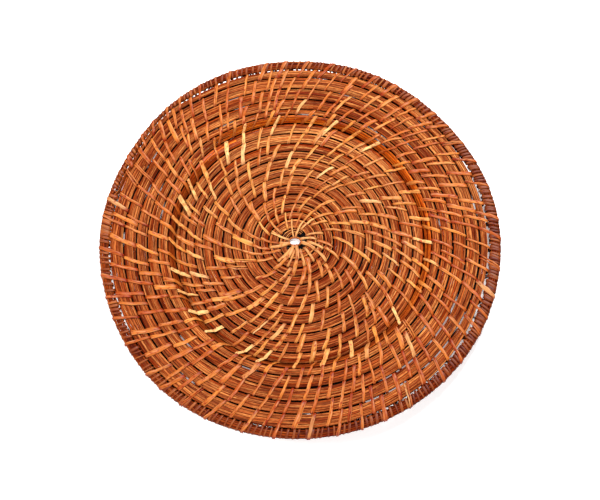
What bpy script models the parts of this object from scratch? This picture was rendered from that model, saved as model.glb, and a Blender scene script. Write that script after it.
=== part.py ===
"""A round rattan charger: one coil of reeds that winds into a flat well, a steep riser and a rim.

The coil starts at a small open eye and winds outwards, counter-clockwise from above. Every turn of
it lies between two turns of one spiral, the boundary spiral, so that neighbouring turns never
touch. A turn is placed by its number: t = 3.25 is a quarter of the way round turn 3, and t = 3 and
t = 4 both lie on the charger's right, in the +X direction. The last piece is the edge coil, which
runs once round the outside. Lengths are in metres, +Z is up, and the charger stands on z = 0.
"""
import math

import bmesh
import bpy

MM = 0.001

# Driving dimensions
OUTER_RADIUS = 165 * MM
EYE_RADIUS = 4.3 * MM            # the hole in the middle
COIL_THICKNESS = 4.4 * MM        # reeds and stitches together
EDGE_COIL_THICKNESS = 5.0 * MM
COIL_GAP = 0.7 * MM              # the dark slit between two turns
EDGE_SLOT = 0.55 * MM            # the edge coil stands this much further off the last turn
PIECE_GAP = 0.3 * MM             # between the ends of two pieces
EDGE_ROUNDING = 1.0 * MM         # where a turn's flat face starts to fall away at its sides
MOST_ROUNDING = 0.3              # the same as a share of the width, for where a turn tapers
SIDE_SHARE = 0.5                 # thickness left at the very side, as a share of the whole
RISER_TILT = math.radians(61)
RIM_TILT = math.radians(5)

# The spiral's centre, which the coils leave behind as they grow towards the outline's own centre
EYE_OFFSET = (-3.9 * MM, 2.4 * MM)
DRIFT_POWER = 3

# Width of each turn, in millimetres, at its left, bottom, right and top as seen from above.
# Its left lies half a turn before its number, and its top a quarter of a turn after it.
TURN_WIDTHS = (
    # turn, left, bottom, right, top
    (0, 0.0, 2.9, 5.7, 7.3),
    (1, 8.8, 8.7, 8.6, 8.7),
    (2, 8.8, 7.5, 6.2, 6.6),
    (3, 7.1, 7.3, 7.5, 7.0),
    (4, 6.5, 7.3, 8.1, 8.8),
    (5, 9.6, 9.1, 8.6, 8.2),
    (6, 7.7, 8.8, 9.8, 8.8),
    (7, 7.8, 7.0, 6.1, 7.2),
    (8, 8.3, 8.5, 8.6, 8.8),
    (9, 9.0, 8.2, 7.3, 7.0),
    (10, 6.7, 7.3, 8.0, 7.7),
    (11, 7.3, 8.2, 9.1, 9.4),
    (12, 9.6, 9.6, 9.6, 10.1),
    (13, 10.4, 10.4, 10.4, 9.4),
    (14, 8.4, 6.1, 7.1, 4.8),
    (15, 8.9, 9.8, 9.1, 9.4),
    (16, 9.5, 10.4, 10.5, 9.9),
    (17, 10.9, 10.1, 10.3, 11.1),
    (18, 12.5, 11.6, 7.6, 7.8),
    (19, 3.0, 3.0, 3.0, 3.0),
)
FIRST_LEFT = -0.5                # the boundary spiral leaves the eye here
KNOT_STEP = 0.25

# Where the pieces start and end, in turns
COIL_START = -0.42
RISER_START = 12.33
RIM_START = 13.36
COIL_END = 18.459
EDGE_START = 17.46
TILT_CHANGE = 0.10               # a turn swings from one tilt to the next over this much of a turn

# The outline is a little uneven
OUTLINE_WAVES = (
    # waves round the outline, height as a share of the radius, angle of one crest in degrees
    (3, 0.0059, -12),
    (6, 0.0025, 2),
    (7, 0.0023, 18),
)

# Sections along one turn
WELL_STEPS = 36
EYE_STEPS = 24                   # as far out as EYE_TURNS
EYE_TURNS = 5
RIM_STEPS = 48
EDGE_STEPS = 96

WELL_COLOUR = (0.46, 0.145, 0.045, 1)
RISER_COLOUR = (0.42, 0.115, 0.022, 1)
RIM_COLOUR = (0.45, 0.12, 0.035, 1)
EDGE_COLOUR = (0.34, 0.075, 0.025, 1)


def ease(share):
    """Smooth step from 0 to 1 as share goes from 0 to 1."""
    share = min(max(share, 0.0), 1.0)
    return share * share * (3 - 2 * share)


def turn_width(t):
    """Width of the coil at t, eased between the measured widths."""
    widths = [width * MM for _, *row in TURN_WIDTHS for width in row]
    place = (t - FIRST_LEFT) / KNOT_STEP
    knot = min(math.floor(place), len(widths) - 2)
    return widths[knot] + (widths[knot + 1] - widths[knot]) * ease(place - knot)


def turn_tilt(t):
    """Slope of the coil at t: flat in the well, steep on the riser, gentle on the rim."""
    up = ease((t - RISER_START) / TILT_CHANGE) * RISER_TILT
    back = ease((t - RISER_START - 1) / TILT_CHANGE) * (RISER_TILT - RIM_TILT)
    return up - back


def boundary(t):
    """Radius and height of the boundary spiral at t, on the middle of the coil's thickness."""
    radius = EYE_RADIUS
    height = 0.0
    turn = t - math.floor(t - FIRST_LEFT)
    while turn <= t + 1e-9:
        radius += turn_width(turn) * math.cos(turn_tilt(turn))
        height += turn_width(turn) * math.sin(turn_tilt(turn))
        turn += 1
    return radius, height


def mitre(t):
    """The direction that the turns on both sides of the boundary share as their thickness."""
    inner = turn_tilt(t)
    outer = turn_tilt(t + 1)
    middle = (inner + outer) / 2
    stretch = 1 / math.cos((outer - inner) / 2)
    return -math.sin(middle) * stretch, math.cos(middle) * stretch


def outline_radius(angle):
    """Radius of the charger's outline at an angle."""
    waves = sum(high * math.cos(count * (angle - math.radians(crest)))
                for count, high, crest in OUTLINE_WAVES)
    return OUTER_RADIUS * (1 + waves)


def to_world(t, radius, height):
    """The point at turn t, this far from the spiral's centre and this high."""
    angle = math.tau * t
    grown = (radius / OUTER_RADIUS) ** DRIFT_POWER
    reach = radius * (1 + (outline_radius(angle) / OUTER_RADIUS - 1) * grown)
    x = EYE_OFFSET[0] * (1 - grown) + reach * math.cos(angle)
    y = EYE_OFFSET[1] * (1 - grown) + reach * math.sin(angle)
    return x - OUTLINE_CENTRE[0], y - OUTLINE_CENTRE[1], height + COIL_THICKNESS / 2


def outline_centre():
    """Middle of the box round the outline, which becomes the origin."""
    steps = range(360)
    xs = [outline_radius(math.radians(step)) * math.cos(math.radians(step)) for step in steps]
    ys = [outline_radius(math.radians(step)) * math.sin(math.radians(step)) for step in steps]
    return (max(xs) + min(xs)) / 2, (max(ys) + min(ys)) / 2


OUTLINE_CENTRE = outline_centre()


def section(t, inner, outer, thickness):
    """Eight points round a coil's section between two boundary points, lower face first.

    inner and outer are (radius, height, mitre) of the two sides, already a gap apart from the
    neighbouring turns.
    """
    width = math.dist(inner[:2], outer[:2])
    fall = min(EDGE_ROUNDING / width, MOST_ROUNDING)
    side = SIDE_SHARE * thickness / 2
    face = thickness / 2
    lower = ((0, -side), (fall, -face), (1 - fall, -face), (1, -side))
    upper = ((1, side), (1 - fall, face), (fall, face), (0, side))
    points = []
    for across, up in lower + upper:
        lean = [a + (b - a) * across for a, b in zip(inner[2], outer[2])]
        radius = inner[0] + (outer[0] - inner[0]) * across + lean[0] * up
        height = inner[1] + (outer[1] - inner[1]) * across + lean[1] * up
        points.append(to_world(t, radius, height))
    return points


def coil_section(t):
    """Section of the coil between the boundary spiral's turns t - 1 and t."""
    tilt = turn_tilt(t)
    back = COIL_GAP / 2
    start = boundary(t - 1)
    end = boundary(t)
    step = (math.cos(tilt) * back, math.sin(tilt) * back)
    inner = (start[0] + step[0], start[1] + step[1], mitre(t - 1))
    outer = (end[0] - step[0], end[1] - step[1], mitre(t))
    if t - 1 < FIRST_LEFT:
        inner = (EYE_RADIUS, 0.0, mitre(t - 1))
    return section(t, inner, outer, COIL_THICKNESS)


def edge_section(t):
    """Section of the edge coil, which fills what is left between the last turn and the outline."""
    start = boundary(t)
    lean = (-math.sin(RIM_TILT), math.cos(RIM_TILT))
    inner_radius = start[0] + EDGE_SLOT
    inner = (inner_radius, start[1], lean)
    outer = (OUTER_RADIUS, start[1] + (OUTER_RADIUS - inner_radius) * math.tan(RIM_TILT), lean)
    return section(t, inner, outer, EDGE_COIL_THICKNESS)


def stations(start, end, steps):
    """Places from start to end, at whole shares of a turn between the two ends."""
    first = math.floor(start * steps) + 1
    last = math.ceil(end * steps) - 1
    return [start, *(step / steps for step in range(first, last + 1)), end]


def loft(name, sections):
    """A closed solid through a row of sections with equally many points."""
    bm = bmesh.new()
    rings = [[bm.verts.new(point) for point in points] for points in sections]
    count = len(rings[0])
    for ring, following in zip(rings, rings[1:]):
        for side in range(count):
            after = (side + 1) % count
            bm.faces.new((ring[side], ring[after], following[after], following[side]))
    bm.faces.new(reversed(rings[0]))
    bm.faces.new(rings[-1])
    bmesh.ops.recalc_face_normals(bm, faces=bm.faces)
    mesh = bpy.data.meshes.new(name)
    bm.to_mesh(mesh)
    bm.free()
    return mesh


def material(name, colour, roughness):
    """A plain finish for one piece."""
    finish = bpy.data.materials.new(name)
    finish.use_nodes = True
    shader = finish.node_tree.nodes["Principled BSDF"]
    shader.inputs["Base Color"].default_value = colour
    shader.inputs["Roughness"].default_value = roughness
    shader.inputs["Metallic"].default_value = 0.0
    return finish


def piece(name, sections, finish, collection):
    """One node: a coil lofted through its sections, shaded smooth."""
    mesh = loft(name, sections)
    mesh.shade_smooth()
    mesh.set_sharp_from_angle(angle=math.radians(40))
    mesh.materials.append(finish)
    collection.objects.link(bpy.data.objects.new(name, mesh))


def well_sections():
    """The flat floor, from the tapered start at the eye to the foot of the riser."""
    finer = stations(COIL_START, EYE_TURNS, EYE_STEPS)
    coarser = stations(EYE_TURNS, RISER_START, WELL_STEPS)[1:]
    return [coil_section(t) for t in finer + coarser]


def after_joint(t):
    """A place that leaves the gap between two pieces behind it."""
    return t + PIECE_GAP / (math.tau * boundary(t)[0])


def main():
    for obj in list(bpy.data.objects):
        bpy.data.objects.remove(obj)
    collection = bpy.data.collections.new("rattan_charger")
    bpy.context.scene.collection.children.link(collection)

    piece("well_coil", well_sections(), material("well_rattan", WELL_COLOUR, 0.55), collection)
    riser = stations(after_joint(RISER_START), RIM_START, RIM_STEPS)
    piece("riser_coil", [coil_section(t) for t in riser],
          material("riser_rattan", RISER_COLOUR, 0.45), collection)
    rim = stations(after_joint(RIM_START), COIL_END, RIM_STEPS)
    piece("rim_coil", [coil_section(t) for t in rim],
          material("rim_rattan", RIM_COLOUR, 0.55), collection)
    edge_end = EDGE_START + 1 - PIECE_GAP / (math.tau * OUTER_RADIUS)
    edge = stations(EDGE_START, edge_end, EDGE_STEPS)
    piece("edge_coil", [edge_section(t) for t in edge],
          material("edge_rattan", EDGE_COLOUR, 0.5), collection)


main()
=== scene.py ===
"""The looks of the rattan charger: one coil of split reeds, sewn to itself with strips of peel.

Everything lies on the same spiral as the CAD. A place on the charger has three numbers. t is the
turn of the coil and how far round it, so t = 3 lies on the charger's right. across runs from 0 at
the coil's inner side to 1 at its outer side. up is the height above the middle of its thickness.
Lengths are in metres.
"""

import math
import random
from collections import namedtuple

import bmesh
import bpy
import numpy as np
from mathutils import Matrix, Vector


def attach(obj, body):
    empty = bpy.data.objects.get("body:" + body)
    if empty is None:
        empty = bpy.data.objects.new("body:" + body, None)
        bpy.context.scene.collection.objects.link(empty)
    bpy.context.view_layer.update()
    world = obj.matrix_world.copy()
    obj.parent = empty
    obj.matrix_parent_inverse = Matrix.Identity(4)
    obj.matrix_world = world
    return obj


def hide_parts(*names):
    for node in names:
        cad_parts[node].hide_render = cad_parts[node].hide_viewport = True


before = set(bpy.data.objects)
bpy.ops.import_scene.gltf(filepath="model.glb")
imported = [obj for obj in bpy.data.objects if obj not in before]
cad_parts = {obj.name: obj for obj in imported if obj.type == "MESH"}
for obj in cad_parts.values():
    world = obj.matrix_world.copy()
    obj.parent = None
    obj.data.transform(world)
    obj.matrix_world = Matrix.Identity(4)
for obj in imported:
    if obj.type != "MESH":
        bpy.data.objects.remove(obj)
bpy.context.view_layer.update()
dice = random.Random(71)

MM = 0.001

# ---- The spiral, as the CAD has it ----
OUTER_RADIUS = 165 * MM
EYE_RADIUS = 4.3 * MM
COIL_THICKNESS = 4.4 * MM
COIL_GAP = 0.7 * MM              # the slit between two turns
EDGE_SLOT = 0.55 * MM            # the slit between the edge coil and the turn inside it
RISER_TILT = math.radians(61)
RIM_TILT = math.radians(5)
EYE_OFFSET = (-3.9 * MM, 2.4 * MM)   # the eye lies this far from the middle of the outline
DRIFT_POWER = 3                  # a higher power keeps more of the turns round the eye
TURN_WIDTHS = (
    # left, bottom, right, top of each turn, in millimetres
    (0.0, 2.9, 5.7, 7.3),
    (8.8, 8.7, 8.6, 8.7),
    (8.8, 7.5, 6.2, 6.6),
    (7.1, 7.3, 7.5, 7.0),
    (6.5, 7.3, 8.1, 8.8),
    (9.6, 9.1, 8.6, 8.2),
    (7.7, 8.8, 9.8, 8.8),
    (7.8, 7.0, 6.1, 7.2),
    (8.3, 8.5, 8.6, 8.8),
    (9.0, 8.2, 7.3, 7.0),
    (6.7, 7.3, 8.0, 7.7),
    (7.3, 8.2, 9.1, 9.4),
    (9.6, 9.6, 9.6, 10.1),
    (10.4, 10.4, 10.4, 9.4),
    (8.4, 6.1, 7.1, 4.8),
    (8.9, 9.8, 9.1, 9.4),
    (9.5, 10.4, 10.5, 9.9),
    (10.9, 10.1, 10.3, 11.1),
    (12.5, 11.6, 7.6, 7.8),
    (3.0, 3.0, 3.0, 3.0),
)
FIRST_LEFT = -0.5                # the first of these widths is at this turn
KNOT_STEP = 0.25                 # and the next ones follow a quarter of a turn apart
COIL_START = -0.42               # where the coil starts, beside the eye
RISER_START = 12.33
RIM_START = 13.36
RIM_LANES = 14.4                 # the rim's coil grows wider here and takes another reed
LAST_TURN = 17.46                # where the last turn starts, the one inside the edge coil
COIL_END = 18.459
EDGE_END = 19.455                # the edge coil takes the numbers after the coil's own end
TILT_CHANGE = 0.10               # the slope changes over this share of a turn
# How many waves the outline has, their height as a share of the radius, and where one crests
OUTLINE_WAVES = ((3, 0.0059, -12), (6, 0.0025, 2), (7, 0.0023, 18))
OUTLINE_CENTRE = (0.5645 * MM, 0.2652 * MM)
FINE = 720                       # places along a turn where the spiral is worked out


def ease(share):
    """Smooth step from 0 to 1 as share goes from 0 to 1."""
    share = np.clip(share, 0.0, 1.0)
    return share * share * (3 - 2 * share)


def facing(t, angle, narrow=1.0):
    """1 where the coil at t passes this angle in degrees, 0 on the opposite side.

    A higher narrow keeps it near 0 everywhere but close to the angle.
    """
    return (0.5 + 0.5 * np.cos(math.tau * t - math.radians(angle))) ** narrow


def turn_width(t):
    """Width of the coil at t, eased between the measured widths."""
    widths = np.array(TURN_WIDTHS).ravel() * MM
    place = (t - FIRST_LEFT) / KNOT_STEP
    knot = np.clip(np.floor(place).astype(int), 0, len(widths) - 2)
    return widths[knot] + (widths[knot + 1] - widths[knot]) * ease(place - knot)


def turn_tilt(t):
    """Slope of the coil at t: flat in the well, steep on the riser, gentle on the rim."""
    up = ease((t - RISER_START) / TILT_CHANGE) * RISER_TILT
    back = ease((t - RISER_START - 1) / TILT_CHANGE) * (RISER_TILT - RIM_TILT)
    return up - back


def spiral_table():
    """The boundary spiral's radius and height, and the length along the coil, every so often."""
    count = int((EDGE_END + 0.2 - FIRST_LEFT) * FINE)
    turns = FIRST_LEFT + np.arange(count) / FINE
    radii = turn_width(turns) * np.cos(turn_tilt(turns))
    heights = turn_width(turns) * np.sin(turn_tilt(turns))
    radii[:FINE] += EYE_RADIUS
    for first in range(FINE, count, FINE):
        last = min(first + FINE, count)
        radii[first:last] += radii[first - FINE:last - FINE]
        heights[first:last] += heights[first - FINE:last - FINE]
    lengths = np.cumsum(radii) * math.tau / FINE
    return turns, radii, heights, lengths


TURNS, RADII, HEIGHTS, LENGTHS = spiral_table()


def boundary(t):
    """Radius and height of the boundary spiral at t."""
    return np.interp(t, TURNS, RADII), np.interp(t, TURNS, HEIGHTS)


def length_at(t):
    """Length of the coil from its start to t."""
    return np.interp(t, TURNS, LENGTHS)


def turn_at(length):
    """The place on the coil that this length reaches."""
    return np.interp(length, LENGTHS, TURNS)


def mitre(t):
    """The direction that the turns on both sides of the boundary share as their thickness."""
    inner = turn_tilt(t)
    outer = turn_tilt(t + 1)
    middle = (inner + outer) / 2
    stretch = 1 / np.cos((outer - inner) / 2)
    return -np.sin(middle) * stretch, np.cos(middle) * stretch


def to_world(t, radius, height):
    """The point at turn t, this far from the spiral's centre and this high."""
    angle = math.tau * t
    waves = sum(high * np.cos(count * (angle - math.radians(crest)))
                for count, high, crest in OUTLINE_WAVES)
    grown = (radius / OUTER_RADIUS) ** DRIFT_POWER
    reach = radius * (1 + waves * grown)
    x = EYE_OFFSET[0] * (1 - grown) + reach * np.cos(angle) - OUTLINE_CENTRE[0]
    y = EYE_OFFSET[1] * (1 - grown) + reach * np.sin(angle) - OUTLINE_CENTRE[1]
    return np.stack([x, y, height + COIL_THICKNESS / 2], axis=-1)


def coil_sides(t):
    """Both sides of the coil at t, as radius, height and the lean of its thickness."""
    tilt = turn_tilt(t)
    inner, inner_height = boundary(t - 1)
    outer, outer_height = boundary(t)
    at_eye = t - 1 < FIRST_LEFT
    at_edge = t > COIL_END
    back = COIL_GAP / 2
    slot = np.where(at_edge, EDGE_SLOT, np.where(at_eye, 0, np.cos(tilt) * back))
    rim_height = inner_height + (OUTER_RADIUS - inner - slot) * math.tan(RIM_TILT)
    outer = np.where(at_edge, OUTER_RADIUS, outer - np.cos(tilt) * back)
    outer_height = np.where(at_edge, rim_height, outer_height - np.sin(tilt) * back)
    inner_height = inner_height + np.where(at_edge | at_eye, 0, np.sin(tilt) * back)
    inner_lean = mitre(t - 1)
    outer_lean = mitre(t)
    flat = (-math.sin(RIM_TILT), math.cos(RIM_TILT))
    inner_lean = [np.where(at_edge, edge, lean) for edge, lean in zip(flat, inner_lean)]
    outer_lean = [np.where(at_edge, edge, lean) for edge, lean in zip(flat, outer_lean)]
    return (inner + slot, inner_height, *inner_lean), (outer, outer_height, *outer_lean)


def place(t, across, up):
    """World points on the coil, for arrays of its three numbers."""
    inner, outer = coil_sides(t)
    radius, height, lean_out, lean_up = (a + (b - a) * across for a, b in zip(inner, outer))
    return to_world(t, radius + lean_out * up, height + lean_up * up)


def coil_width(t):
    """Width of the coil at t from side to side."""
    inner, outer = coil_sides(t)
    return np.hypot(outer[0] - inner[0], outer[1] - inner[1])


# ---- Bars: every reed and strip is a straight bar laid along its own path ----
BARS = {}


def bar(sides, steps):
    """A straight closed bar, 1 in radius and 1 long, swept from a circle: its mesh and points."""
    if (sides, steps) not in BARS:
        bm = bmesh.new()
        bmesh.ops.create_circle(bm, cap_ends=True, segments=sides, radius=1)
        bmesh.ops.rotate(bm, verts=bm.verts, matrix=Matrix.Rotation(math.pi / sides, 3, "Z"))
        bmesh.ops.spin(bm, geom=bm.faces[:], axis=(0, 0, 1), dvec=(0, 0, 1 / steps), angle=0,
                       steps=steps)
        bmesh.ops.recalc_face_normals(bm, faces=bm.faces)
        mesh = bpy.data.meshes.new("bar")
        bm.to_mesh(mesh)
        bm.free()
        points = np.empty(len(mesh.vertices) * 3)
        mesh.vertices.foreach_get("co", points)
        BARS[sides, steps] = mesh, points.reshape(-1, 3)
    return BARS[sides, steps]


def surface(along, across, mark, tone, stain_and_shade, height):
    """What the finishes read at each point, as rows for the attributes grain and look.

    grain is the place in the fibres in millimetres, with a number of its own for each reed.
    look is the reed's tone, its stain and painted shade, and the height on its own section.
    """
    size = along.shape
    grain = np.stack([along / MM, across / MM, np.full(size, mark * 60.0)], axis=-1)
    look = np.stack([np.broadcast_to(part, size) for part in (tone, stain_and_shade, height)], axis=-1)
    return grain, look


def tone_of(mark):
    """A reed's tone, from 0 to 1, made from its own number."""
    return (mark * 7.3) % 1


def piece(name, laid, finish, stands_for=()):
    """One object joined from laid bars. laid holds (bar mesh, points, grain, look) for each."""
    bm = bmesh.new()
    for shape, *_ in laid:
        bm.from_mesh(shape)
    mesh = bpy.data.meshes.new(name)
    bm.to_mesh(mesh)
    bm.free()
    mesh.vertices.foreach_set("co", np.concatenate([points for _, points, *_ in laid]).ravel())
    for index, title in ((2, "grain"), (3, "look")):
        layer = mesh.attributes.new(title, "FLOAT_VECTOR", "POINT")
        layer.data.foreach_set("vector", np.concatenate([row[index] for row in laid]).ravel())
    mesh.shade_smooth()
    mesh.set_sharp_from_angle(angle=math.radians(60))
    mesh.materials.append(finish)
    obj = bpy.data.objects.new(name, mesh)
    bpy.context.scene.collection.objects.link(obj)
    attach(obj, "root")
    if stands_for:
        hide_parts(*stands_for)


# ---- Reeds ----
LAYER_UP = 0.85 * MM             # the two layers of reeds lie this far above and below the middle
REED_HALF = 0.80 * MM            # half of a reed's thickness
CROWN = 1.00 * MM                # the outer reeds of a coil lie this much lower
REED_APART = 0.16 * MM           # the reeds of neighbouring lanes lie this far apart
REED_STEP = 4.5 * MM             # a reed's mesh has no longer steps than this
STEPS_A_TURN = 44                # and no fewer steps than this to a turn
LONGEST_REED = 430               # in millimetres
SHORTEST_REST = 40 * MM          # a reed runs on to the end where less than this is left
SPLICE = 16 * MM                 # over this length one reed runs out beside the next
THIN_END = 0.06                  # a reed that runs out keeps this share of its width
SQUARE = 0.2                     # the sides of reeds and strips are this flat, 1 being round
REED_ROUND = 0.6                 # and the top of a reed is this round
REED_LIFT = 0.24 * MM            # a reed rises and sinks by this much on its way
REED_STEPPED = 0.10 * MM         # and lies this much higher or lower than the ones beside it
END_SINKS = 0.15 * MM            # the thin end of a reed sinks by this much
UNLIKE_LANES = 0.55              # how much the widths of the lanes differ
INNER_CURVE, OUTER_CURVE, LIFT_CURVE = 60, 61, 50   # which uneven curves of a layer these are
POCKET_RADIUS = 6.4 * MM         # nearer the eye than this there is no upper layer
POCKET_GROWTH = 3.2 * MM         # and at POCKET_SIDE it starts this much farther out
POCKET_SIDE = 231
# Where the last turn is drawn in, which opens the slit beside the edge coil: by how much, the
# angle, and how narrow the place is
DRAWN_IN = ((1.4 * MM, 355, 8), (0.5 * MM, 120, 3))

# A layer of reeds: how many lanes, the height of their middle, how far past the coil's own sides
# they reach and how much that changes, how many sides each reed's section has, and the number
# that its unevenness comes from
Layer = namedtuple("Layer", "lanes level spread unevenness sides seed")
UPPER = Layer(4, LAYER_UP, -0.26 * MM, 0.26 * MM, 8, 1)
LOWER = Layer(4, -LAYER_UP, -0.15 * MM, 0.10 * MM, 6, 2)

RING_LOOKS = (7 / 60, 0.7, 0.1)  # the mark, tone and stain of the reeds round the opening
STRAND_HALF = 0.38 * MM          # half the thickness of a thin single reed, at most
STRAND_TAPER = 9 * MM            # its ends taper over this length
GAP_DEPTH = 1.15 * MM            # the reeds in the slits lie this far below the coil's middle
GAP_REEDS = (60, 260)            # and are this long, in millimetres
SLIVER_UP = 1.72 * MM            # the slivers lie this far above it
IN_THE_DARK = 1                  # the stain of a reed that lies in a slit, which also marks it to be painted near black as shade


def wander(length, seed):
    """A slow uneven curve between about -1 and 1 along a length."""
    waves = ((171, 0.45), (97, 0.35), (53, 0.20))  # each one's length in millimetres, and share
    total = 0
    for number, (wave, share) in enumerate(waves):
        phase = random.Random(seed * 7 + number).uniform(0, math.tau)
        total = total + share * np.sin(length / (wave * MM) * math.tau + phase)
    return total


def lane_side(t, index, layer):
    """Where one side of a lane runs across the coil. The reeds of a layer lie in lanes."""
    length = length_at(t)
    seed = layer.seed * 100
    shares = [np.exp(UNLIKE_LANES * wander(length, seed + lane)) for lane in range(layer.lanes)]
    width = coil_width(t)
    low = -(layer.spread + layer.unevenness * wander(length, seed + INNER_CURVE)) / width
    high = 1 + (layer.spread + layer.unevenness * wander(length, seed + OUTER_CURVE)) / width
    beside_edge = (t > LAST_TURN) & (t <= COIL_END)
    drawn_in = sum(most * facing(t, angle, narrow) for most, angle, narrow in DRAWN_IN)
    high = high - beside_edge * drawn_in / width
    if layer.level > 0:
        inner, outer = coil_sides(t)
        pocket = POCKET_RADIUS + POCKET_GROWTH * facing(t, POCKET_SIDE, 30)
        low = np.maximum(low, (pocket - inner[0]) / (outer[0] - inner[0]))
    return low + (high - low) * sum(shares[:index], np.zeros_like(t)) / sum(shares)


def lay_reed(start, end, lane, layer, splices):
    """One reed along its lane from start to end. splices says at which ends it runs out slowly."""
    length = length_at(end) - length_at(start)
    steps = max(4, int(max(length / REED_STEP, (end - start) * STEPS_A_TURN)))
    mesh, bar_points = bar(layer.sides, steps)
    x, y, z = bar_points.T
    t = start + z * (end - start)
    low = lane_side(t, lane, layer)
    high = lane_side(t, lane + 1, layer)
    here = z * length
    begun = np.clip(here / SPLICE, THIN_END, 1) if splices[0] else np.ones_like(z)
    ended = np.clip((length - here) / SPLICE, THIN_END, 1) if splices[1] else np.ones_like(z)
    whole = high - low
    low, high = high - whole * begun, low + whole * ended
    middle = (low + high) / 2
    half = np.maximum((high - low) / 2 - REED_APART / 2 / coil_width(t), 0.02)
    across = middle - np.sign(x) * abs(x) ** SQUARE * half
    mark = dice.uniform(0, 1)
    lift = REED_LIFT * wander(length_at(t), layer.seed * 100 + LIFT_CURVE + lane)
    lift = lift + dice.uniform(-1, 1) * REED_STEPPED - END_SINKS * (1 - np.minimum(begun, ended))
    upper = layer.level > 0
    rounding = CROWN * (2 * across - 1) ** 2 if upper else 0.4 * CROWN * abs(2 * middle - 1) ** 3
    up = layer.level + (lift - rounding) * (1 if upper else -1)
    up = up + np.sign(y) * abs(y) ** REED_ROUND * REED_HALF
    face = y if upper else -y
    looks = surface(here, x * half * coil_width(t), mark, tone_of(mark), stain_and_shade_at(t), face)
    return mesh, place(t, across, up), *looks


def lay_layer(first, last, layer, joints=(False, False), stagger=0.0, tapered=(False, False),
              uneven_end=0.0):
    """All the reeds of one layer between two places on the coil.

    joints says at which ends the reeds run out into the neighbouring part, and stagger shifts
    each lane's ends by up to that many turns, in the same way for both parts at a joint.
    tapered says at which ends the reeds run out slowly. uneven_end ends each lane that many
    turns before the one inside it.
    """
    laid = []
    for lane in range(layer.lanes):
        start = first + stagger * wander(first, lane + 5) * joints[0]
        stop = last + stagger * wander(last, lane + 5) * joints[1] - uneven_end * lane
        spliced = tapered[0]
        reach = dice.uniform(0.25, 1) * LONGEST_REED * MM
        while start < stop:
            end = min(float(turn_at(length_at(start) + reach)), stop)
            if float(length_at(stop) - length_at(end)) < SHORTEST_REST:
                end = stop
            more = end < stop
            laid.append(lay_reed(start, end, lane, layer, (spliced, more or tapered[1])))
            start = float(turn_at(length_at(end) - SPLICE)) if more else stop
            spliced = True
            reach = dice.uniform(0.35, 1) * LONGEST_REED * MM
    return laid


def lay_strand(start, end, across, up, half, mark, stain_and_shade):
    """A thin single reed. across and up give its place on the coil along its way, from 0 to 1."""
    length = length_at(end) - length_at(start)
    steps = max(4, int(max(length / REED_STEP, (end - start) * STEPS_A_TURN)))
    mesh, bar_points = bar(6, steps)
    x, y, z = bar_points.T
    t = start + z * (end - start)
    taper = 0.3 + 0.7 * ease(np.minimum(z, 1 - z) * length / STRAND_TAPER)
    run = across(t, z) - x * taper * half / coil_width(t)
    rise = up(t, z) + y * taper * min(half * 0.8, STRAND_HALF)
    # A reed in a slit gets the lowest height all along, so the finish paints it near black as shade
    height = -1.0 if stain_and_shade == IN_THE_DARK else y
    looks = surface(z * length, x * half, mark, tone_of(mark), stain_and_shade, height)
    return mesh, place(t, run, rise), *looks


def lay_ring(half_long, half_wide, up, half):
    """A thin reed bent into an oval round the eye's opening."""
    mesh, bar_points = bar(8, 48)
    x, y, z = bar_points.T
    angle = math.tau * z
    run_x = (half_long + x * half) * np.cos(angle) + EYE_OFFSET[0] - OUTLINE_CENTRE[0]
    run_y = (half_wide + x * half) * np.sin(angle) + EYE_OFFSET[1] - OUTLINE_CENTRE[1]
    points = np.stack([run_x, run_y, COIL_THICKNESS / 2 + up + y * half], axis=-1)
    looks = surface(angle * half_long, x * half, *RING_LOOKS, 0.6 + 0.4 * y)
    return mesh, points, *looks


def lay_gap_strands(first, last, half, longest_skip, overlap=0.0):
    """Thin reeds deep in the slit between two turns, which close it in most places. They are painted
    near black as shade.

    longest_skip is in millimetres. overlap is how far each reed runs on at both ends.
    """
    laid = []
    start = first
    while start < last - 0.002:
        end = min(float(turn_at(length_at(start) + dice.uniform(*GAP_REEDS) * MM)), last)
        laid.append(lay_strand(
            float(turn_at(length_at(start) - overlap)), float(turn_at(length_at(end) + overlap)),
            lambda t, z: 1 + COIL_GAP / 2 / coil_width(t),
            lambda t, z: np.full_like(t, -GAP_DEPTH),
            half, dice.uniform(0, 1), IN_THE_DARK))
        start = float(turn_at(length_at(end) + dice.uniform(0.5, longest_skip) * MM))
    return laid


def lay_loose_strands(first, last, count):
    """Slivers and thin reeds that lie on the others and cross from lane to lane."""
    laid = []
    for _ in range(count):
        reach = dice.uniform(25, 130) * MM
        start = float(turn_at(dice.uniform(float(length_at(first)), float(length_at(last)) - reach)))
        end = float(turn_at(length_at(start) + reach))
        here = dice.uniform(0.12, 0.88)
        there = min(max(here + dice.uniform(-0.28, 0.28), 0.08), 0.92)
        laid.append(lay_strand(
            start, end,
            lambda t, z: here + (there - here) * z,
            lambda t, z: SLIVER_UP - CROWN * abs(2 * (here + (there - here) * z) - 1) ** 3,
            dice.uniform(0.22, 0.5) * MM, dice.uniform(0, 1), dice.uniform(0, 0.5)))
    return laid


# ---- Peel strips ----
STRIP_HALF = 0.36 * MM           # half of a stitch's thickness
STRIP_STEPS = 32
STRIP_TOP = 22                   # the steps of a stitch that lie on top
STRIP_ROUND = 0.7                # how round the top of a strip is, 1 being fully round
ASIDE = 0.0004                   # the strip's width is kept towards a place so many turns away


def lengths_along(line):
    """How far along the line each of its points is."""
    return np.concatenate([[0], np.cumsum(np.linalg.norm(np.diff(line, axis=0), axis=1))])


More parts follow.
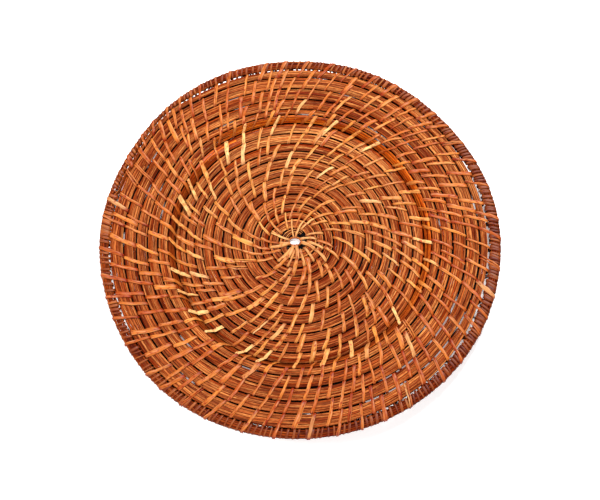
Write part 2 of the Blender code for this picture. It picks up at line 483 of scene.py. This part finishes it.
def lay_strip(line, edge, half_width, mark, stain_and_shade, roll, half=STRIP_HALF, pale=0.0):
    """A flat strip along a line of points, its width kept along the edge directions.

    roll turns it about its own length. Its stain and painted shade is a number or one for each
    point.
    pale is the least tone that it has.
    """
    steps = len(line) - 1
    mesh, bar_points = bar(8, steps)
    x, y, z = bar_points.T
    ring = np.rint(z * steps).astype(int)
    along = np.gradient(line, axis=0)
    along /= np.linalg.norm(along, axis=1)[:, None]
    wide = edge - (edge * along).sum(1)[:, None] * along
    wide /= np.linalg.norm(wide, axis=1)[:, None]
    thick = np.cross(along, wide)
    wide, thick = (wide * math.cos(roll) + thick * math.sin(roll),
                   thick * math.cos(roll) - wide * math.sin(roll))
    offset_x = (np.sign(x) * abs(x) ** SQUARE * half_width[ring])[:, None]
    offset_y = (np.sign(y) * abs(y) ** STRIP_ROUND * half)[:, None]
    points = line[ring] + wide[ring] * offset_x + thick[ring] * offset_y
    # The table presses the strips flat underneath
    points[:, 2] = np.maximum(points[:, 2], 0)
    stained_and_shaded = np.broadcast_to(stain_and_shade, len(line))[ring]
    tone = max(tone_of(mark), pale)
    looks = surface(lengths_along(line)[ring], offset_x[:, 0], mark, tone, stained_and_shaded, y)
    return mesh, points, *looks


def resampled(line, edge, half_width, density, steps):
    """The same line in this many steps, with its points closest where the density is high."""
    spans = np.linalg.norm(np.diff(line, axis=0), axis=1) * (density[1:] + density[:-1]) / 2
    places = np.concatenate([[0], np.cumsum(spans)])
    wanted = np.linspace(0, places[-1], steps + 1)
    line, edge = (np.array([np.interp(wanted, places, column) for column in part.T]).T
                  for part in (line, edge))
    return line, edge, np.interp(wanted, places, half_width)


def smoothed(line, times):
    """The line with its corners rounded, and its ends kept."""
    for _ in range(times):
        line = np.concatenate([line[:1], (line[:-2] + 2 * line[1:-1] + line[2:]) / 4, line[-1:]])
    return line


# ---- Stitches ----
STITCH_LEAN = 8.6 * MM
EYE_LEAN = 0.20                  # near the eye a stitch leans by this share of the radius
BARE_END = 0.014                 # no stitch starts within so many turns of a coil's end
EDGE_RISE = 0.45 * MM            # a stitch lies this much higher where it crosses the edge coil
EYE_STITCHES = 12                # stitches in the first turn, of which every third is left out
FIRST_STITCH = 0.52
RIM_STITCHES = 0.72              # from this share of the radius the stitches lie closer
WELL_APART = (34, 38)            # two stitches start between two that lie this far apart, in
RIM_APART = (29, 33)             # millimetres, in the well and on the rim
# One stitch: how many coils inwards from its start, and how high in millimetres
STITCH_SHAPE = (
    (0.00, -1.85), (0.00, 0.50), (0.02, 1.05), (0.06, 1.38), (0.14, 1.68), (0.30, 1.96),
    (0.50, 2.05), (0.70, 1.97), (0.86, 1.78), (1.00, 1.66), (1.14, 1.78), (1.30, 1.97),
    (1.50, 2.05), (1.70, 1.94), (1.86, 1.64), (1.94, 1.36), (1.98, 1.05), (2.00, 0.50),
    (2.00, -1.85),
)
# And how it runs back beneath, to where the next stitch starts
UNDER_SHAPE = ((1.5, -1.85), (1.0, -1.80), (0.5, -1.85), (0.0, -1.85), (0.0, -0.90))
HOLE = (4.7 * MM, 3.0 * MM)      # the eye's opening is an oval


def slant_at(radius):
    """How far round a stitch leans while it crosses two coils, in turns."""
    return np.minimum(STITCH_LEAN, EYE_LEAN * radius) / (math.tau * radius)


def hole_share(t):
    """Where the eye's oval opening runs across the innermost coil."""
    inner, outer = coil_sides(t)
    angle = math.tau * t
    radius = 1 / np.hypot(np.cos(angle) / HOLE[0], np.sin(angle) / HOLE[1])
    return (radius - inner[0]) / (outer[0] - inner[0])


def lay_stitch(start, following, width, stain_and_shade, bulge, pale):
    """A stitch from the outer side of the coil at start, over two coils, and back beneath.

    following is where the next stitch starts. bulge is how far this one stands off the coils.
    """
    radius = float(boundary(start)[0])
    slant = float(slant_at(radius)) * dice.uniform(0.75, 1.3)
    bow = dice.uniform(-0.4, 0.4) * MM / (math.tau * radius)
    inwards, up = np.array(STITCH_SHAPE).T
    widths = (float(coil_width(start - 0.002)), float(coil_width(start - 1)))
    run = np.interp(inwards, (0, 1, 2), (0, widths[0], sum(widths))) / sum(widths)
    turns = slant * run + bow * np.sin(inwards * math.pi / 2)
    beneath, low = np.array(UNDER_SHAPE).T
    back = slant + (following - start - slant) * (2 - beneath) / 2
    knots = np.arange(len(up) + len(low))
    fine = np.linspace(0, knots[-1], 181)
    inwards = np.interp(fine, knots, np.concatenate([inwards, beneath]))
    up = np.interp(fine, knots, np.concatenate([up, low])) * MM
    turns = np.interp(fine, knots, np.concatenate([turns, back]))
    above = up > 0
    up = up + bulge * np.exp(-((inwards - 1.1) / 0.55) ** 4) * above
    if start > COIL_END:
        up = up + EDGE_RISE * ease((1.1 - inwards) / 0.3) * above
    second = inwards > 1
    t = start + turns - second
    across = 1 - inwards + second
    gap_share = COIL_GAP / 2 / coil_width(t)
    across = np.where(across > 1 - 1e-6, 1 + gap_share, across)
    opening = np.where(t - 1 < FIRST_LEFT, hole_share(t), -gap_share)
    across = np.where(second, opening + across * (1 - opening), across)
    line = place(t, across, up)
    edge = place(t - ASIDE, across, up) - place(t + ASIDE, across, up)
    on_top = ease((up / MM + 0.2) / 1.6)
    swell = 1 + 0.10 * np.sin(inwards * dice.uniform(2, 5) + dice.uniform(0, 6))
    half_width = width / 2 * (0.78 + 0.22 * on_top) * swell
    line = smoothed(line, 3)
    density = 0.35 + 0.65 * above + 1.6 * np.exp(-((up / MM - 1.0) / 0.5) ** 2)
    line, edge, half_width = resampled(line, edge, half_width, density, STRIP_STEPS)
    rings = np.arange(STRIP_STEPS + 1)
    from_end = np.minimum(rings, STRIP_TOP - rings)
    # The ends of a stitch, where it dips into the coils, are painted redder and darker
    stain_and_shade = np.clip(stain_and_shade + 0.55 * (1 - ease(from_end / 5)), 0, 1)
    return lay_strip(line, edge, half_width, dice.uniform(0, 1), stain_and_shade, dice.uniform(-0.16, 0.16),
                     pale=pale)


def stitch_places():
    """Where the stitches start, in the order they are sewn.

    Each stitch starts between two of the turn before, and two start where those lie far apart.
    """
    places = [FIRST_STITCH + number / EYE_STITCHES for number in range(EYE_STITCHES)]
    at = 0
    while places[-1] < EDGE_END:
        before, after = places[at], places[at + 1]
        radius = float(boundary(before + 1)[0])
        widest = WELL_APART if radius < RIM_STITCHES * OUTER_RADIUS else RIM_APART
        wide = dice.uniform(*widest) * MM
        apart = math.tau * radius * (after - before)
        shares = (0.5,) if apart < wide else (0.27, 0.73)
        for share in shares:
            jitter = dice.uniform(-0.16, 0.16)
            new = before + (after - before) * (share + jitter) + 1 - float(slant_at(radius)) / 2
            places.append(new)
        at += 1
    sewn = [start for number, start in enumerate(places)
            if number >= EYE_STITCHES or number % 3 != 1]
    return [start for start in sewn
            if start < COIL_END - BARE_END or COIL_END < start < EDGE_END - BARE_END]


# ---- Finishes ----
def linear(code):
    """An sRGB hex colour as the linear colour a shader takes."""
    shares = [int(code[at:at + 2], 16) / 255 for at in (0, 2, 4)]
    return (*[s / 12.92 if s <= 0.04045 else ((s + 0.055) / 1.055) ** 2.4 for s in shares], 1)


def add(tree, kind, settings=(), values=(), links=()):
    """A node with its settings, its input values, and (output socket, input name) links."""
    node = tree.nodes.new(kind)
    for name, value in dict(settings).items():
        setattr(node, name, value)
    for name, value in dict(values).items():
        node.inputs[name].default_value = value
    for source, name in links:
        tree.links.new(source, node.inputs[name])
    return node


def ramp(tree, factor, stops):
    """A colour ramp through (position, hex colour) stops."""
    node = add(tree, "ShaderNodeValToRGB", links=[(factor, "Fac")])
    elements = node.color_ramp.elements
    while len(elements) < len(stops):
        elements.new(0.5)
    for element, (position, code) in zip(elements, stops):
        element.position = position
        element.color = linear(code)
    return node.outputs["Color"]


def mixed(tree, factor, first, second, blend="MIX"):
    """Two colours mixed. factor, first and second are sockets, numbers or hex colours."""
    node = add(tree, "ShaderNodeMix", settings={"data_type": "RGBA", "blend_type": blend})
    for name, given in (("Factor", factor), ("A", first), ("B", second)):
        socket = next(s for s in node.inputs
                      if s.name == name and s.type == ("VALUE" if name == "Factor" else "RGBA"))
        if isinstance(given, str):
            socket.default_value = linear(given)
        elif isinstance(given, (int, float)):
            socket.default_value = given
        else:
            tree.links.new(given, socket)
    return next(s for s in node.outputs if s.type == "RGBA")


def streaks(tree, vector, along, across, detail=3.0):
    """Noise drawn out along the grain: along and across are feature sizes in millimetres."""
    stretched = add(tree, "ShaderNodeVectorMath", settings={"operation": "MULTIPLY"},
                    values={1: (1 / along, 1 / across, 1)}, links=[(vector, 0)])
    noise = add(tree, "ShaderNodeTexNoise", values={"Scale": 1.0, "Detail": detail},
                links=[(stretched.outputs[0], "Vector")])
    return noise.outputs["Fac"]


def shader_of(name):
    """A new material, with its node tree and its shader."""
    finish = bpy.data.materials.new(name)
    finish.use_nodes = True
    return finish, finish.node_tree, finish.node_tree.nodes["Principled BSDF"]


def surface_of(tree):
    """The place in the fibres, and the tone, the stain and painted shade, and the height on the
    reed's own section.

    The height goes from 0 at the bottom of a reed or strip to 1 at its top; the finishes paint the
    low parts in shade.
    """
    grain = add(tree, "ShaderNodeAttribute", settings={"attribute_name": "grain"})
    look = add(tree, "ShaderNodeAttribute", settings={"attribute_name": "look"})
    parts = add(tree, "ShaderNodeSeparateXYZ", links=[(look.outputs["Vector"], "Vector")])
    height = add(tree, "ShaderNodeMapRange", values={"From Min": -1.0, "From Max": 1.0},
                 links=[(parts.outputs["Z"], "Value")])
    return (grain.outputs["Vector"], parts.outputs["X"], parts.outputs["Y"],
            height.outputs["Result"])


def dressed(tree, shader, colour, roughness, sheen, index, fibres, strength, depth):
    """Gives the shader its colour, its gloss and the relief of its fibres."""
    tree.links.new(colour, shader.inputs["Base Color"])
    shader.inputs["Roughness"].default_value = roughness
    shader.inputs["IOR"].default_value = index
    shader.inputs["Specular IOR Level"].default_value = sheen
    bump = add(tree, "ShaderNodeBump", values={"Strength": strength, "Distance": depth},
               links=[(fibres, "Height")])
    tree.links.new(bump.outputs["Normal"], shader.inputs["Normal"])


def rattan_core(name, pale, dark, red, roughness, sheen):
    """Stained, shaved rattan core. Fine fibres and dark pores run along it, with a dull sheen."""
    finish, tree, shader = shader_of(name)
    vector, tone, stain_and_shade, height = surface_of(tree)
    fine = streaks(tree, vector, 30, 0.30)
    broad = streaks(tree, vector, 60, 1.6)
    pores = streaks(tree, vector, 9, 0.22, detail=1.0)
    reed = ramp(tree, tone, [(0.0, dark), (0.55, pale), (1.0, pale)])
    stained_and_shaded = mixed(tree, stain_and_shade, reed, red)
    shade = ramp(tree, fine, [(0.28, "6a1e04"), (0.44, "c88050"), (0.58, "ffffff")])
    colour = mixed(tree, 0.85, stained_and_shaded, shade, "MULTIPLY")
    depth = ramp(tree, broad, [(0.34, "762406"), (0.58, "ffffff")])
    colour = mixed(tree, 0.9, colour, depth, "MULTIPLY")
    flecks = streaks(tree, vector, 3.5, 0.45, detail=1.0)
    mottled = ramp(tree, flecks, [(0.36, "b06c3c"), (0.60, "ffffff")])
    colour = mixed(tree, 0.5, colour, mottled, "MULTIPLY")
    dark_pores = ramp(tree, pores, [(0.30, "4a0e02"), (0.40, "ffffff")])
    colour = mixed(tree, 0.55, colour, dark_pores, "MULTIPLY")
    # Painted shade: the sides and undersides of the reeds are painted darker, down to near black,
    # where the seams between them lie in shade
    painted_side_shade = ramp(tree, height,
                [(0.0, "080000"), (0.36, "2c0802"), (0.60, "a4481c"), (0.82, "ffffff")])
    colour = mixed(tree, 1.0, colour, painted_side_shade, "MULTIPLY")
    dressed(tree, shader, colour, roughness, sheen, 1.45, fine, 0.5, 0.12 * MM)
    return finish


def rattan_peel(name, highlight_cream, pale, golden, red, streak_highlight):
    """Rattan peel, the glossy skin of the cane: golden, with red-brown marks burnt into it.

    The last argument is how strong the pale streaks along its fibres are, as a grey: they are
    painted highlights.
    """
    finish, tree, shader = shader_of(name)
    vector, tone, stain_and_shade, height = surface_of(tree)
    fine = streaks(tree, vector, 10, 0.35)
    marks = streaks(tree, vector, 3.2, 1.4, detail=2.0)
    # The cream at the top of the tones is a painted highlight
    skin = ramp(tree, tone, [(0.0, golden), (0.7, pale), (0.94, pale), (1.0, highlight_cream)])
    stained_and_shaded = mixed(tree, stain_and_shade, skin, red)
    shade = ramp(tree, fine, [(0.30, "a8744c"), (0.60, "ffffff")])
    colour = mixed(tree, 0.8, stained_and_shaded, shade, "MULTIPLY")
    # Painted highlights: pale streaks along the fibres
    fibres = streaks(tree, vector, 16, 0.7, detail=1.0)
    painted_highlight_streaks = ramp(tree, fibres, [(0.52, "000000"), (0.68, streak_highlight)])
    colour = mixed(tree, painted_highlight_streaks, colour, "e8b87c")
    burnt = ramp(tree, marks, [(0.55, "ffffff"), (0.68, "b84014")])
    colour = mixed(tree, 0.85, colour, burnt, "MULTIPLY")
    # Painted shade: the sides and underside of a strip are painted darker, as the shadow beside it
    painted_side_shade = ramp(tree, height, [(0.25, "401204"), (0.70, "ffffff")])
    colour = mixed(tree, 1.0, colour, painted_side_shade, "MULTIPLY")
    dressed(tree, shader, colour, 0.42, 0.14, 1.5, fine, 0.3, 0.08 * MM)
    return finish


def stain_and_shade_at(t):
    """Stain and painted shade: the stain grows towards the rim, the painted shade darkens the near
    side.
    """
    radius = boundary(t)[0] / OUTER_RADIUS
    # Painted shade: the near side of the well and of the rim is painted darker
    near_side = 0.55 * facing(t, 270, 1.5) * ease(radius / 0.3)
    on_rim = 0.4 * near_side + 0.22 * ease((radius - 0.55) / 0.45)
    # Painted shade: the riser is painted redder and darker away from its far right side, which stays
    # bright orange
    on_riser = ease(facing(t, 235) * 1.6 - 0.1)
    # The edge has a light stain all round, and painted shade darkens it towards its near right side
    on_edge = 0.20 + 0.60 * facing(t, 310)
    stain_and_shade = np.where(t < RISER_START, near_side, on_rim)
    stain_and_shade = np.where((t > RISER_START) & (t < RIM_START), on_riser, stain_and_shade)
    return np.where(t > COIL_END, on_edge, stain_and_shade)


# The reeds: honey brown and dull in the well, a brighter orange with more gloss on the riser, brown
# again on the rim, dark red-brown on the edge. The riser's brighter orange is painted light bounced
# from the well
well_core = rattan_core("shaved rattan core, well", "eaa45e", "aa4810", "a6400e", 0.55, 0.04)
riser_core = rattan_core("shaved rattan core, riser", "ff9028", "f07216", "b45a1c", 0.45, 0.16)
rim_core = rattan_core("shaved rattan core, rim", "e69e58", "a84a12", "a4420c", 0.55, 0.04)
edge_core = rattan_core("shaved rattan core, edge", "c47032", "923809", "762604", 0.55, 0.04)
# The strips: golden, and dark brown on the edge. The cream at the top of their tones is a painted
# highlight, on a few strips in the well and on the rim
well_peel = rattan_peel("rattan peel, well", "f0c484", "d48e40", "b85e1a", "943406", "a0a0a0")
rim_peel = rattan_peel("rattan peel, rim", "f8cc86", "de8a38", "ba5812", "8e2c04", "808080")
edge_peel = rattan_peel("rattan peel, edge", "b87438", "aa5c26", "7c3209", "5e1c04", "303030")

# ---- The reeds of each part ----
THROUGH = (True, True)
JOINT_STAGGER = 0.03             # at a joint the reeds of two parts end at different places
EYE_RINGS = ((0.6, 0.5), (0.8, -0.6))   # how far outside the opening and how high, millimetres
RING_HALF = 0.75 * MM
# The slits of the rim that thin reeds close, as pairs of places. Open bits are left between
CLOSED_SLITS = (
    (RISER_START, 15.84), (15.87, 15.89), (15.94, 16.81), (16.85, 16.87), (16.90, 16.915),
    (16.93, LAST_TURN - 0.02),
)
CLOSED_EDGE_SLITS = (
    (LAST_TURN + 0.12, LAST_TURN + 0.36), (LAST_TURN + 0.61, LAST_TURN + 0.75),
)
# Two reeds that fill the wedge beside the coil's end: how far aside and how high, millimetres
WEDGE_REEDS = ((0.5, -0.4), (1.3, -1.0))
EDGE_REEDS = (0.2, 0.4)          # the reeds of the edge coil are this long, in turns
EDGE_REST = 0.05                 # and one runs on to the end where less than this is left


def lane_runs(start, end):
    """Splits a lane of the edge coil into a few reeds that overlap at their splices."""
    while start < end:
        stop = min(start + dice.uniform(*EDGE_REEDS), end)
        if end - stop < EDGE_REST:
            stop = end
        yield start, stop
        start = float(turn_at(length_at(stop) - SPLICE)) if stop < end else end


well = lay_layer(0.46, RISER_START, UPPER, (False, True), stagger=JOINT_STAGGER)
# The first reeds of the upper layer lie beside the pocket round the eye
well += lay_layer(0.14, 0.50, UPPER, tapered=THROUGH)
well += lay_loose_strands(1.5, RISER_START, 90)
well_under = lay_layer(COIL_START, RISER_START, LOWER)
for out, up in EYE_RINGS:
    well_under.append(lay_ring(HOLE[0] + out * MM, HOLE[1] + out * MM, up * MM, RING_HALF))
well_under += lay_gap_strands(-0.1, RISER_START, 0.95 * MM, 1, overlap=5 * MM)
piece("well_reeds", well, well_core, ["well_coil"])
piece("well_reeds_beneath", well_under, well_core)

riser = lay_layer(RISER_START, RIM_START, UPPER, THROUGH, stagger=JOINT_STAGGER)
riser += lay_layer(RISER_START, RIM_START, LOWER)
piece("riser_reeds", riser, riser_core, ["riser_coil"])

rim = lay_layer(RIM_START, RIM_LANES + 0.02, UPPER, (True, False), stagger=JOINT_STAGGER,
                tapered=(False, True))
rim += lay_layer(RIM_LANES - 0.02, COIL_END + 0.022, UPPER._replace(lanes=5, seed=5),
                 tapered=THROUGH, uneven_end=0.003)
rim += lay_loose_strands(RIM_LANES, COIL_END, 80)
rim_under = lay_layer(RIM_START, COIL_END + 0.006, LOWER._replace(lanes=5))
for first, last in CLOSED_SLITS:
    rim_under += lay_gap_strands(first, last, 0.85 * MM, 12)
for first, last in CLOSED_EDGE_SLITS:
    rim_under += lay_gap_strands(first, last, 0.75 * MM, 6)
for aside, up in WEDGE_REEDS:
    rim_under.append(lay_strand(
        COIL_END - 1.035, COIL_END - 1.002,
        lambda t, z: 1 + aside * MM / coil_width(t),
        lambda t, z: np.full_like(t, up * MM),
        0.6 * MM, 0.3 * aside, 0.3))
piece("rim_reeds", rim, rim_core, ["rim_coil"])
piece("rim_reeds_beneath", rim_under, rim_core)

EDGE_FREE = 0.0012               # the edge coil's reeds start this far beyond the coil's end
EDGE_TAIL = 0.012                # and each lane runs on this much farther than the one before
# The edge coil is a little thicker than the others, with four reeds above three
edge_upper = Layer(4, LAYER_UP + 0.15 * MM, -0.05 * MM, 0.10 * MM, 8, 8)
edge_lower = Layer(3, -LAYER_UP - 0.2 * MM, -0.05 * MM, 0.05 * MM, 6, 9)
edge = []
for layer in (edge_upper, edge_lower):
    for lane in range(layer.lanes):
        start = COIL_END + EDGE_FREE
        end = EDGE_END + EDGE_TAIL + EDGE_TAIL * lane
        for from_here, to_there in lane_runs(start, end):
            edge.append(lay_reed(from_here, to_there, lane, layer, (from_here > start, True)))
piece("edge_reeds", edge, edge_core, ["edge_coil"])


# ---- The stitches ----
STITCH_WIDTHS = (1.7, 1.9, 2.0, 2.1, 2.2, 2.4, 2.6, 3.0)   # in millimetres
SPLIT_WIDTH = 1.3 * MM           # a split strip makes two narrow stitches
SPLIT_SHARE = 0.06               # this share of the stitches is split
EYE_PALE_END = 2.2               # the stitches before this place are pale
starts = stitch_places()
stitches = {"well": [], "rim": []}
for start, following in zip(starts, starts[1:] + [starts[-1] + 0.02]):
    zone = "well" if start < RISER_START else "rim"
    width = dice.choice(STITCH_WIDTHS) * MM
    radius = float(boundary(start)[0]) / OUTER_RADIUS
    width *= 0.8 + 0.25 * float(ease((radius - 0.1) / 0.15)) + 0.25 * float(facing(start, 235))
    width += 0.5 * MM * float(1 - ease((radius - 0.06) / 0.06))
    # The stain grows towards the rim; the near side is painted darker as painted shade
    stain_and_shade = 0.25 * float(ease((radius - 0.5) / 0.5)) + 0.2 * float(facing(start, 285, 2))
    stain_and_shade = min(1, max(0, stain_and_shade + 0.2 * float(1 - ease(radius / 0.2)) + dice.uniform(-0.1, 0.3)))
    if start > COIL_END:
        stain_and_shade = max(stain_and_shade, 0.6)
    bulge = 0
    pale = 0.96 if start < EYE_PALE_END else 0
    # On the riser the strips stand off the coil, and most of them are painted cream as painted
    # highlights
    if RISER_START < start < RISER_START + 1:
        bulge = dice.uniform(0.6, 1.4 + 1.4 * float(facing(start, 165, 3))) * MM
        stain_and_shade = 0
        pale = 0.92 + 0.08 * dice.random()
    if dice.random() < SPLIT_SHARE:
        aside = 0.85 * MM / (math.tau * radius * OUTER_RADIUS)
        for beside in (start - aside, start + aside):
            stitches[zone].append(lay_stitch(beside, following, SPLIT_WIDTH, stain_and_shade, bulge, pale))
    else:
        stitches[zone].append(lay_stitch(start, following, width, stain_and_shade, bulge, pale))
piece("well_binding", stitches["well"], well_peel)
piece("rim_binding", stitches["rim"], rim_peel)


# ---- Edge wraps ----
WRAP_SPACING = 4.6 * MM
WRAP_HALF = 0.22 * MM            # half of a wrap's thickness
WRAP_STEPS = 24
WRAP_START = 0.004               # the first wrap lies this far beyond the coil's end
CLOSE_WRAPS = 14                 # the wraps start close together, CLOSE_SPACING apart
CLOSE_SPACING = 0.0031
LAST_WRAPS = (0.9885, 0.9920, 0.9955)   # and these cover the end of the edge coil
WRAP_SHAPE = (
    # Across, up in millimetres, share of the way to the next wrap
    (-0.05, -1.9, 0.0), (-0.05, 1.2, 0.0), (0.05, 1.85, 0.05), (0.25, 2.0, 0.1), (0.5, 2.05, 0.2),
    (0.75, 2.0, 0.3), (0.92, 1.7, 0.35), (1.00, 0.9, 0.4), (1.01, -1.0, 0.4), (0.94, -1.8, 0.5),
    (0.5, -2.05, 0.75), (0.06, -2.0, 1.0), (-0.05, -1.9, 1.0),
)


def lay_wrap(start, lean, half_width, stain_and_shade, reach):
    """One wrap of the strip that covers the edge coil. reach is how far it goes into the slot."""
    across, up, share = np.array(WRAP_SHAPE).T
    across = np.where(across < 0, across - reach, across)
    knots = np.arange(len(up))
    fine = np.linspace(0, len(up) - 1, 91)
    across, up, share = (np.interp(fine, knots, row) for row in (across, up, share))
    # No wrap leans back over the coil's end
    t = np.maximum(start - share * lean, COIL_END + 0.0015)
    line = smoothed(place(t, across, up * MM), 3)
    edge = place(t + ASIDE, across, up * MM) - place(t - ASIDE, across, up * MM)
    widths = np.full(len(t), half_width)
    line, edge, widths = resampled(line, edge, widths, np.ones(len(t)), WRAP_STEPS)
    return lay_strip(line, edge, widths, dice.uniform(0, 1), stain_and_shade, dice.uniform(-0.1, 0.1),
                     WRAP_HALF)


wraps = []
at = 0.0
places = []
while at < 0.99:
    places.append(at)
    # The wraps lie closest on the right
    spacing = WRAP_SPACING * (1 - 0.36 * float(facing(COIL_END + at, 0, 3)))
    at += spacing * dice.uniform(0.7, 1.3) / (math.tau * OUTER_RADIUS)
places += [number * CLOSE_SPACING + dice.uniform(0, 0.0008) for number in range(CLOSE_WRAPS)]
places += LAST_WRAPS
for at in places:
    start = COIL_END + WRAP_START + at
    half_width = 0.85 + 0.20 * float(facing(start, 0, 2)) + dice.uniform(-0.3, 0.35)
    # The wraps have a light stain, painted darker towards the near right side as painted shade
    stain_and_shade = 0.20 + 0.5 * float(facing(start, 325)) + dice.uniform(-0.3, 0.3)
    lean = dice.uniform(0.5, 1.6) * WRAP_SPACING / (math.tau * OUTER_RADIUS)
    reach = dice.choice((0.0, 0.0, 0.05, 0.10))
    wraps.append(lay_wrap(start, lean, half_width * MM, stain_and_shade, reach))
piece("edge_binding", wraps, edge_peel)

# ---- Stage, light and camera ----
bm = bmesh.new()
bmesh.ops.create_grid(bm, x_segments=1, y_segments=1, size=4)
mesh = bpy.data.meshes.new("floor")
bm.to_mesh(mesh)
bm.free()
floor = bpy.data.objects.new("floor", mesh)
bpy.context.scene.collection.objects.link(floor)
# A matt white top, which glows a little so that only a faint shadow shows on it
paint, _, paint_shader = shader_of("matt white paint")
paint_shader.inputs["Base Color"].default_value = linear("fcfcfc")
paint_shader.inputs["Roughness"].default_value = 0.9
paint_shader.inputs["Emission Color"].default_value = (1, 1, 1, 1)
paint_shader.inputs["Emission Strength"].default_value = 0.3
mesh.materials.append(paint)

world = bpy.data.worlds.new("studio")
world.use_nodes = True
sky = world.node_tree.nodes["Background"]
sky.inputs["Color"].default_value = (1, 1, 1, 1)
sky.inputs["Strength"].default_value = 0.25
bpy.context.scene.world = world


def softbox(name, position, size, power):
    """A square area light that faces the charger."""
    light = bpy.data.lights.new(name, "AREA")
    light.size = size
    light.energy = power
    obj = bpy.data.objects.new(name, light)
    obj.location = position
    obj.rotation_euler = (-Vector(position)).to_track_quat("-Z", "Y").to_euler()
    bpy.context.scene.collection.objects.link(obj)


softbox("far softbox", (0.28, 0.90, 1.48), 0.40, 44)
softbox("near softbox", (-0.25, -1.25, 1.0), 0.8, 19)
softbox("left softbox", (-1.3, 0.1, 1.2), 0.6, 11)

CAMERA_HEIGHT = math.radians(71)     # how steeply the camera looks down
CAMERA_DISTANCE = 0.9075
target = Vector((0, 0, 8 * MM))
away = Vector((0, -math.cos(CAMERA_HEIGHT), math.sin(CAMERA_HEIGHT)))
camera_data = bpy.data.cameras.new("camera")
camera_data.sensor_width = 36
camera_data.lens = 65.4
camera_data.shift_x = -0.0003
camera_data.shift_y = -0.0136
camera = bpy.data.objects.new("camera", camera_data)
camera.location = target + away * CAMERA_DISTANCE
camera.rotation_euler = (-away).to_track_quat("-Z", "Y").to_euler()
bpy.context.scene.collection.objects.link(camera)
bpy.context.scene.camera = camera
bpy.context.scene.view_settings.view_transform = "Standard"
